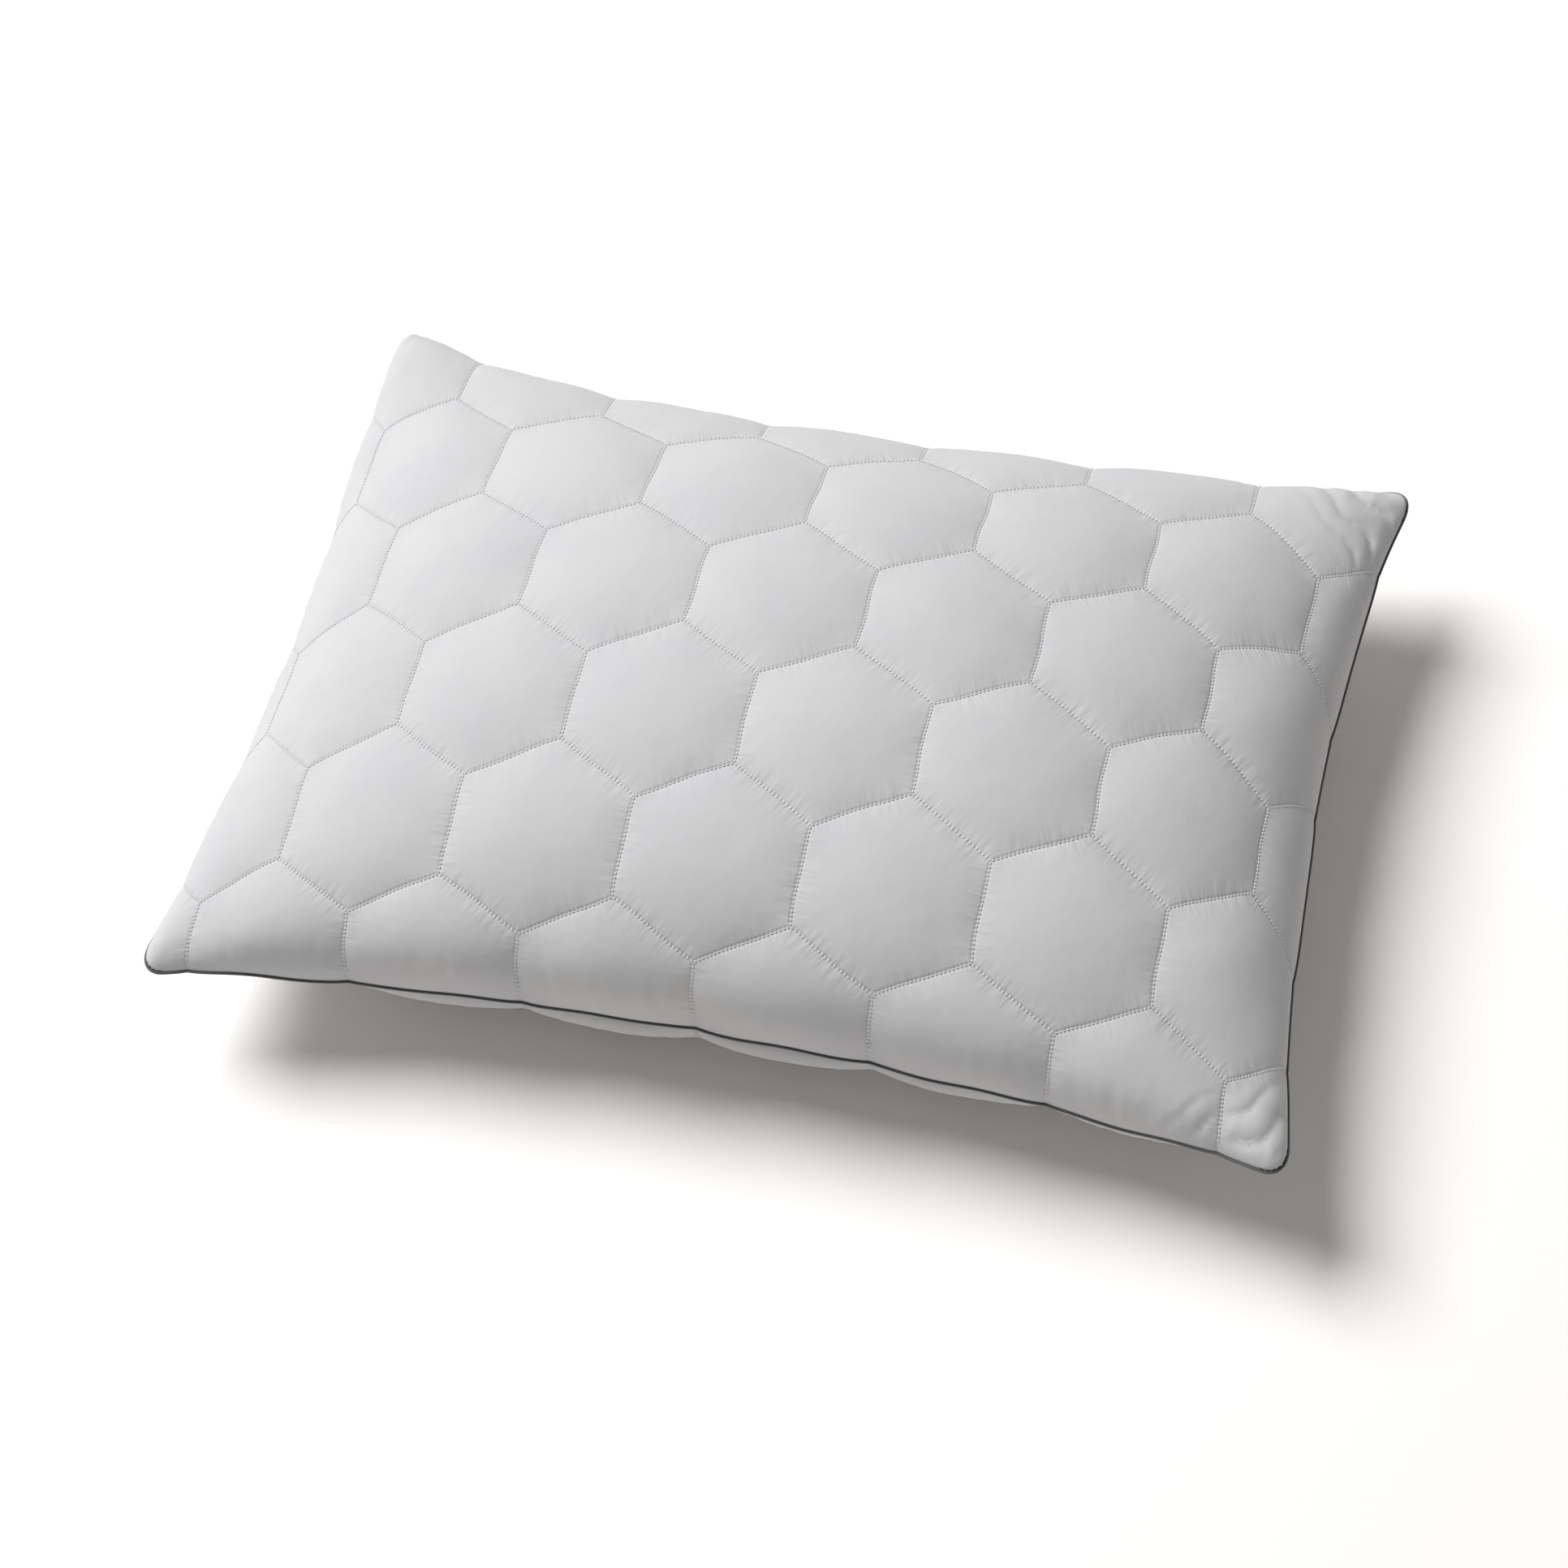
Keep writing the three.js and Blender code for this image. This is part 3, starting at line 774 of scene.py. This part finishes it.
def quilted_cotton():
    """Matt cotton, gathered and dimpled by the stitches of its quilting lines."""
    material, tree, shader = principled(
        "quilted_cotton", (0.74, 0.74, 0.745), 0.85, Sheen_Weight=0.12, Sheen_Roughness=0.5
    )
    pattern = uv_map(tree, "pattern")
    along, away = separated(tree, uv_map(tree, "stitch"))
    tree.links.new(cotton_tint(tree, pattern), shader.inputs["Base Color"])
    pucker = group_output(tree, PUCKER, Along=along, Away=away, Reach=PUCKER_REACH)
    drape = noise(tree, pattern, 42.0, 2.0)
    gathered = maths(tree, "ADD", pucker, maths(tree, "MULTIPLY", drape, 0.5))
    folds = bump(tree, gathered, PUCKER_DEPTH)
    groove = mapped(tree, away, 0.0, GROOVE_WIDTH)
    turn = maths(tree, "MULTIPLY", along, 2 * math.pi / STITCH)
    beside = mapped(tree, away, 0.0002, 0.0028, 1.0, 0.0)
    holes = maths(tree, "MULTIPLY", maths(tree, "COSINE", turn), beside)
    dimpled = maths(tree, "SUBTRACT", groove, maths(tree, "MULTIPLY", holes, 0.3))
    pulled = bump(tree, dimpled, GROOVE_DEPTH, 1.0, folds)
    weave = group_output(tree, WEAVE, Pattern=pattern, Pitch=THREAD_PITCH)
    tree.links.new(bump(tree, weave, WEAVE_DEPTH, 0.8, pulled), shader.inputs["Normal"])
    return material


def plain_textile(name, color, roughness, scale, depth, **more):
    """A fibrous finish whose grain is told by the piece's own coordinates."""
    material, tree, shader = principled(name, color, roughness, **more)
    place = add_node(tree, "ShaderNodeTexCoord").outputs["Object"]
    grain = noise(tree, place, scale, 4.0, 0.6)
    tree.links.new(bump(tree, grain, depth), shader.inputs["Normal"])
    return material


def grey_satin():
    """Smooth satin cut on the bias, so that its fine ribs run slantwise."""
    material, tree, shader = principled(
        "grey_satin", (0.075, 0.076, 0.08), 0.42, Sheen_Weight=0.3, Sheen_Roughness=0.35
    )
    pattern = uv_map(tree, "pattern")
    turned = add_node(tree, "ShaderNodeMapping", (), {"Vector": pattern, "Rotation": (0, 0, math.pi / 4)})
    across, _ = separated(tree, turned.outputs[0])
    ribs = maths(tree, "SINE", maths(tree, "MULTIPLY", across, 2 * math.pi / SATIN_RIB))
    uneven = noise(tree, pattern, 500.0, 2.0)
    height = maths(tree, "ADD", maths(tree, "MULTIPLY", ribs, 0.2), uneven)
    tree.links.new(bump(tree, height, SATIN_DEPTH), shader.inputs["Normal"])
    return material


MATERIALS = {
    "quilted_cotton": quilted_cotton(),
    "polyester_wadding": plain_textile("polyester_wadding", (0.82, 0.82, 0.81), 0.95, 900.0, 0.0006),
    "nonwoven_lining": plain_textile("nonwoven_lining", (0.76, 0.76, 0.75), 0.9, 1500.0, 0.0002),
    "quilting_thread": plain_textile("quilting_thread", (0.78, 0.78, 0.78), 0.5, 3000.0, 0.0001),
    "grey_satin": grey_satin(),
    "cotton_cord": plain_textile("cotton_cord", (0.7, 0.69, 0.66), 0.9, 2500.0, 0.0002),
    "seam_thread": plain_textile("seam_thread", (0.72, 0.72, 0.72), 0.55, 3000.0, 0.0001),
    "fibre_fill": plain_textile("fibre_fill", (0.85, 0.85, 0.84), 1.0, 600.0, 0.002),
    "label_satin": plain_textile("label_satin", (0.8, 0.8, 0.79), 0.45, 4000.0, 0.00005),
}


def assign(piece, slot, *nodes):
    """Puts the slot's material on the piece, which stands for these CAD nodes."""
    piece.data.materials.clear()
    piece.data.materials.append(MATERIALS[slot])
    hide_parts(*nodes)
    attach(piece, "root")
    return piece


# ---- the quilted panels ----

def stitch_uv(flat, faces):
    """For every face corner, its place along the nearest quilting line and its distance from it."""
    middles = np.array([flat[list(face)].mean(axis=0) for face in faces])
    offset = cell_offset(middles)
    centre = middles - offset
    across = offset @ SIDE_NORMALS.T
    nearest = np.abs(across).argmax(axis=1)
    sign = np.sign(across[np.arange(len(faces)), nearest])
    normal = SIDE_NORMALS[nearest] * sign[:, None]
    tangent = np.stack([-normal[:, 1], normal[:, 0]], axis=1)
    counts = [len(face) for face in faces]
    which = np.repeat(np.arange(len(faces)), counts)
    corners = flat[np.concatenate([list(face) for face in faces])]
    local = corners - centre[which]
    away = CELL / 2 - (local * normal[which]).sum(axis=1)
    along = (local * tangent[which]).sum(axis=1)
    shift = STITCH * np.round((centre[which] @ [730, 310]) + 100 * nearest[which])
    return np.stack([along + shift, np.maximum(away, 0)], axis=1), corners


def quilted_panel(name, side):
    """The panel's cloth, wadding and lining, quilted together."""
    flat, tris = PATTERN
    cloth = rested(puffed_cloth(name, flat, tris, side))
    ordered = tris if side > 0 else tris[:, ::-1]
    normals = vertex_normals(cloth, ordered)
    relief = np.minimum(corner_folds(flat) + seam_gathers(flat), 0)
    folded = cloth + filled_normal(flat, side) * relief[:, None]
    fade = np.clip(depth_inside(flat) / 0.025, 0, 1)

    def layer(distance):
        """The surface this far under the cloth, thinning towards the seam."""
        return folded - normals * (UNDER_CLOTH + distance * (0.05 + 0.95 * fade))[:, None]

    inner = folded - normals * FABRIC
    shell_flat, shell_points, faces = fabric_faces(flat, cloth, tris, inner, side)
    fabric = new_piece(name + "_fabric_cloth", shell_points, faces)
    stitch, pattern = stitch_uv(shell_flat, faces)
    add_uv(fabric, "pattern", pattern)
    add_uv(fabric, "stitch", stitch)
    assign(fabric, "quilted_cotton", name + "_fabric")

    flatness = np.clip(line_distance(flat) / (CELL / 2), 0, 1)
    body = 0.0012 + (WADDING + 0.004) * (1 - (1 - flatness) ** 2)
    below = LAYER_GAP + body + LAYER_GAP
    layers = (
        ("wadding", "polyester_wadding", layer(LAYER_GAP), layer(LAYER_GAP + body)),
        ("lining", "nonwoven_lining", layer(below), layer(below + LINING)),
    )
    for part, slot, outer, under in layers:
        points, slab = closed_slab(outer, under, tris, side)
        assign(new_piece(f"{name}_{part}_layer", points, slab), slot, f"{name}_{part}")


# ---- the stitching ----

def capsules(starts, ends, radius, sides=6):
    """Short rounded threads between pairs of points. Gives points and faces."""
    rings = ((0.0, 0.35), (0.14, 0.85), (0.5, 1.0), (0.86, 0.85), (1.0, 0.35))
    angles = np.arange(sides) * 2 * math.pi / sides
    axis = ends - starts
    unit = axis / np.linalg.norm(axis, axis=1)[:, None]
    first = np.cross(unit, [0.3, -0.2, 1.0])
    first /= np.linalg.norm(first, axis=1)[:, None]
    second = np.cross(unit, first)
    spread = np.cos(angles)[:, None, None] * first + np.sin(angles)[:, None, None] * second
    points = [starts + axis * share + spread * (radius * width) for share, width in rings]
    points = np.stack(points).transpose(2, 0, 1, 3).reshape(-1, 3)
    faces = []
    count = sides * len(rings)
    for k in range(len(starts)):
        base = k * count
        for ring in range(len(rings) - 1):
            low = base + ring * sides
            for side in range(sides):
                nxt = (side + 1) % sides
                faces.append((low + side, low + nxt, low + sides + nxt, low + sides + side))
        faces.append(tuple(base + side for side in reversed(range(sides))))
        faces.append(tuple(base + count - sides + side for side in range(sides)))
    return points, faces


def hexagon_sides():
    """Both ends of every quilting line of the pattern, each line once."""
    turns = np.radians([30, 90, 150, 210])
    corners = CELL_SIDE * np.stack([np.cos(turns), np.sin(turns)], axis=1)
    sides = []
    for row in range(-4, 5):
        for column in range(-5, 6):
            for half in (0, 0.5):
                centre = FIRST_CELL + CELL_PITCH * [column + half, row + half]
                sides += [(centre + corners[k], centre + corners[k + 1]) for k in range(3)]
    return np.array(sides)


def quilting_stitches(name, side):
    """The visible stitches of the quilting, lying in the valleys between the puffs."""
    random = np.random.default_rng(5 if side > 0 else 6)
    sides = hexagon_sides()
    share = (np.arange(STITCHES_PER_SIDE) + 0.5)[None, :, None] / STITCHES_PER_SIDE
    middles = (sides[:, 0][:, None] * (1 - share) + sides[:, 1][:, None] * share).reshape(-1, 2)
    run = (sides[:, 1] - sides[:, 0]) / CELL_SIDE
    run = np.repeat(run, STITCHES_PER_SIDE, axis=0)
    kept = depth_inside(middles) > STITCH
    middles = middles[kept]
    run = run[kept]
    turn = random.normal(0, 0.05, len(run))
    run = run + np.stack([-run[:, 1], run[:, 0]], axis=1) * turn[:, None]
    reach = STITCH * random.uniform(0.32, 0.38, len(run))[:, None]
    normals = filled_normal(middles, side)
    starts = filled_place(middles - run * reach, side) + normals * STITCH_LIFT
    ends = filled_place(middles + run * reach, side) + normals * STITCH_LIFT
    points, faces = capsules(starts, ends, THREAD)
    stitches = new_piece(name + "_quilting_stitches", points, faces)
    assign(stitches, "quilting_thread", name + "_quilting_thread")


# ---- the piped seam ----

def seam_path(step):
    """The seam on the filled pillow, with the outward direction at each point, counter-clockwise."""
    flat = outline(step)
    path = (filled_place(flat, 1) + filled_place(flat, -1)) / 2
    ahead = np.roll(path, -1, axis=0) - np.roll(path, 1, axis=0)
    outward = np.stack([ahead[:, 1], -ahead[:, 0], np.zeros(len(ahead))], axis=1)
    outward /= np.linalg.norm(outward, axis=1)[:, None]
    return flat, path, outward


def swept(path, outward, section, closed=True):
    """Sweeps a closed (out, up) section along the seam. Gives points and faces."""
    size = len(section)
    rings = path[:, None] + outward[:, None] * section[None, :, :1]
    rings = rings + np.array([0, 0, 1]) * section[None, :, 1:]
    count = len(path)
    faces = []
    for k in range(count if closed else count - 1):
        after = (k + 1) % count
        for j in range(size):
            nxt = (j + 1) % size
            faces.append((k * size + j, after * size + j, after * size + nxt, k * size + nxt))
    if not closed:
        faces.append(tuple(reversed(range(size))))
        faces.append(tuple((count - 1) * size + j for j in range(size)))
    return rings.reshape(-1, 3), faces


def arc(centre, radius, start, end, steps):
    """Points (out, up) along an arc round a centre on the seam's outward line."""
    angles = np.linspace(start, end, steps + 1)
    return np.stack([centre + radius * np.cos(angles), radius * np.sin(angles)], axis=1)


def piping_section():
    """A bias strip wrapped round the cord, its two edges lying side by side in the seam."""
    mouth = math.pi - 0.3
    inner_radius = PIPING_RADIUS - STRIP
    outer = arc(PIPING_OUT, PIPING_RADIUS, -mouth, mouth, 18)
    inner = arc(PIPING_OUT, inner_radius, mouth, -mouth, 12)
    gap = inner_radius * math.sin(mouth)
    tail = [(-FLANGE, gap + STRIP), (-FLANGE, gap)]
    other_tail = [(-FLANGE, -gap), (-FLANGE, -gap - STRIP)]
    return np.vstack([outer, tail, inner, other_tail])


def piped_seam():
    """The satin strip and the cord inside it, all the way round the pillow."""
    _, path, outward = seam_path(SEAM_STEP)
    section = piping_section()
    points, faces = swept(path, outward, section)
    cover = new_piece("piping_satin", points, faces)
    length = np.concatenate([[0], np.cumsum(np.linalg.norm(np.diff(path, axis=0), axis=1))])
    around = np.concatenate([[0], np.cumsum(np.linalg.norm(np.diff(section, axis=0), axis=1))])
    index = corner_index(cover)
    add_uv(cover, "pattern", np.stack([length[index // len(section)], around[index % len(section)]], axis=1))
    assign(cover, "grey_satin", "piping_cover")
    round_cord = arc(PIPING_OUT, CORD_RADIUS, 0, 2 * math.pi, 10)[:-1]
    assign(new_piece("piping_filler_cord", *swept(path, outward, round_cord)), "cotton_cord", "piping_cord")


def seam_stitches(name, node, chosen, out, up, radius):
    """A row of stitches beside the piping, along part of the seam."""
    flat, path, outward = seam_path(SEAM_STEP)
    line = path + outward * out + [0, 0, up]
    length = np.concatenate([[0], np.cumsum(np.linalg.norm(np.diff(line, axis=0), axis=1))])
    marks = np.arange(SEAM_STITCH / 2, length[-1] - 0.002, SEAM_STITCH)

    def at(distance):
        """The places at distances along the row."""
        return np.stack([np.interp(distance, length, line[:, k]) for k in range(3)], axis=1)

    place = np.stack([np.interp(marks, length, flat[:, k]) for k in range(2)], axis=1)
    marks = marks[chosen(place)]
    points, faces = capsules(at(marks - SEAM_THREAD_REACH), at(marks + SEAM_THREAD_REACH), radius)
    assign(new_piece(name, points, faces), "seam_thread", node)


def all_round(place):
    """The whole seam."""
    return np.ones(len(place), dtype=bool)


def on_closing_seam(place):
    """The left short end, closed by machine after filling."""
    return (place[:, 0] < -HALF[0] + 1e-4) & (np.abs(place[:, 1]) < 0.1)


# ---- the filling and the label ----

def fibre_filling():
    """The loose filling inside the quilted layers."""
    flat, tris = PATTERN
    upper, lower = (filled_place(flat * 0.93, side) for side in (1, -1))
    middle = SEAM_LEVEL + 0.004
    upper[:, 2] = middle + (upper[:, 2] - middle) * 0.84
    lower[:, 2] = middle + (lower[:, 2] - middle) * 0.78
    points, faces = closed_slab(upper, lower, tris, 1)
    filling = assign(new_piece("fibre_filling", points, faces), "fibre_fill", "fibre_fill")


def label_path():
    """The label's line (out, up) from inside the back seam to its hem, in short even steps."""
    steps = np.linspace(0, len(LABEL_LINE) - 1, 22)
    known = np.arange(len(LABEL_LINE))
    path = np.stack([np.interp(steps, known, LABEL_LINE[:, k]) for k in range(2)], axis=1)
    for _ in range(4):
        path[1:-1] = (path[:-2] + 2 * path[1:-1] + path[2:]) / 4
    return path


def care_label():
    """A blank satin tab held in the back seam, hanging from it."""
    root = filled_place(np.array([[0.0, HALF[1]]]), -1)[0]
    path = label_path()
    length = len(path)
    tangent = np.gradient(path, axis=0)
    normal = np.stack([-tangent[:, 1], tangent[:, 0]], axis=1)
    normal /= np.linalg.norm(normal, axis=1)[:, None]
    across = np.linspace(-0.5, 0.5, 15)
    rows = len(across)
    layers = []
    for half in (0.5, -0.5):
        for share in across:
            curl = LABEL_CURL * (2 * share) ** 2 * np.clip(np.arange(length) / length - 0.3, 0, 1)
            place = path + normal * (half * LABEL_THICKNESS + curl[:, None])
            x = np.full(length, root[0] + share * LABEL_WIDTH)
            layers.append(np.stack([x, root[1] + place[:, 0], root[2] + place[:, 1]], axis=1))

    def at(layer, row, column):
        """The number of a point in one of the two faces."""
        return (layer * rows + row) * length + column

    faces = []
    for row in range(rows - 1):
        for column in range(length - 1):
            for layer, order in ((0, 1), (1, -1)):
                spots = ((row, column), (row + 1, column), (row + 1, column + 1), (row, column + 1))
                faces.append(tuple(at(layer, *spot) for spot in spots[::order]))
    border = [(row, 0) for row in range(rows)]
    border += [(rows - 1, column) for column in range(1, length)]
    border += [(row, length - 1) for row in range(rows - 2, -1, -1)]
    border += [(0, column) for column in range(length - 2, 0, -1)]
    for first, second in zip(border, border[1:] + border[:1]):
        faces.append((at(0, *second), at(0, *first), at(1, *first), at(1, *second)))
    tab = new_piece("care_label_tab", np.concatenate(layers), faces)
    label = assign(tab, "label_satin", "care_label")


PATTERN = pattern_mesh()
for panel, facing in (("front", 1), ("back", -1)):
    quilted_panel(panel, facing)
    quilting_stitches(panel, facing)
piped_seam()
seam_stitches("edge_seam_stitches", "edge_seam_thread", all_round, -0.003, 0.0, 0.0002)
seam_stitches("closing_seam_stitches", "closing_seam_thread", on_closing_seam, -0.0002, 0.0021, 0.00025)
fibre_filling()
care_label()


# ---- the floor, lights and camera ----

def floor():
    """A white floor, wide enough to fill the view."""
    material, _, _ = principled("floor_white", (0.975, 0.96, 0.935), 0.95)
    corners = [(-6, -6, 0), (6, -6, 0), (6, 6, 0), (-6, 6, 0)]
    plane = new_piece("floor", corners, [(0, 1, 2, 3)], material, False)


def window_light():
    """One soft window, high on the left and a little behind the pillow."""
    data = bpy.data.lights.new("window", "AREA")
    data.shape = "DISK"
    data.size = WINDOW_SIZE
    data.energy = WINDOW_POWER
    data.color = WINDOW_COLOR
    light = bpy.data.objects.new("window", data)
    bpy.context.scene.collection.objects.link(light)
    aim = Vector(WINDOW_SIDE).normalized()
    light.location = Vector((0, 0, 0.08)) + aim * WINDOW_DISTANCE
    light.rotation_euler = aim.to_track_quat("Z", "Y").to_euler()


def room_light():
    """Faint light from every side, a little warm."""
    world = bpy.data.worlds.new("room")
    world.use_nodes = True
    background = world.node_tree.nodes["Background"]
    background.inputs["Color"].default_value = (*ROOM_COLOR, 1)
    background.inputs["Strength"].default_value = ROOM_STRENGTH
    bpy.context.scene.world = world


def camera():
    """Looks down on the pillow from above its front edge, a little turned about its own axis."""
    data = bpy.data.cameras.new("camera")
    data.lens = CAMERA_LENS
    data.sensor_width = 36
    data.clip_end = 50
    back = Vector(CAMERA_BACK).normalized()
    level = Vector((0, 0, 1)).cross(back).normalized()
    up = back.cross(level)
    right = level * math.cos(CAMERA_ROLL) + up * math.sin(CAMERA_ROLL)
    above = back.cross(right)
    piece = bpy.data.objects.new("camera", data)
    bpy.context.scene.collection.objects.link(piece)
    turned = Matrix((right, above, back)).transposed().to_4x4()
    piece.matrix_world = Matrix.Translation(Vector(CAMERA_EYE)) @ turned
    bpy.context.scene.camera = piece


floor()
window_light()
room_light()
camera()
bpy.context.scene.view_settings.view_transform = "Standard"
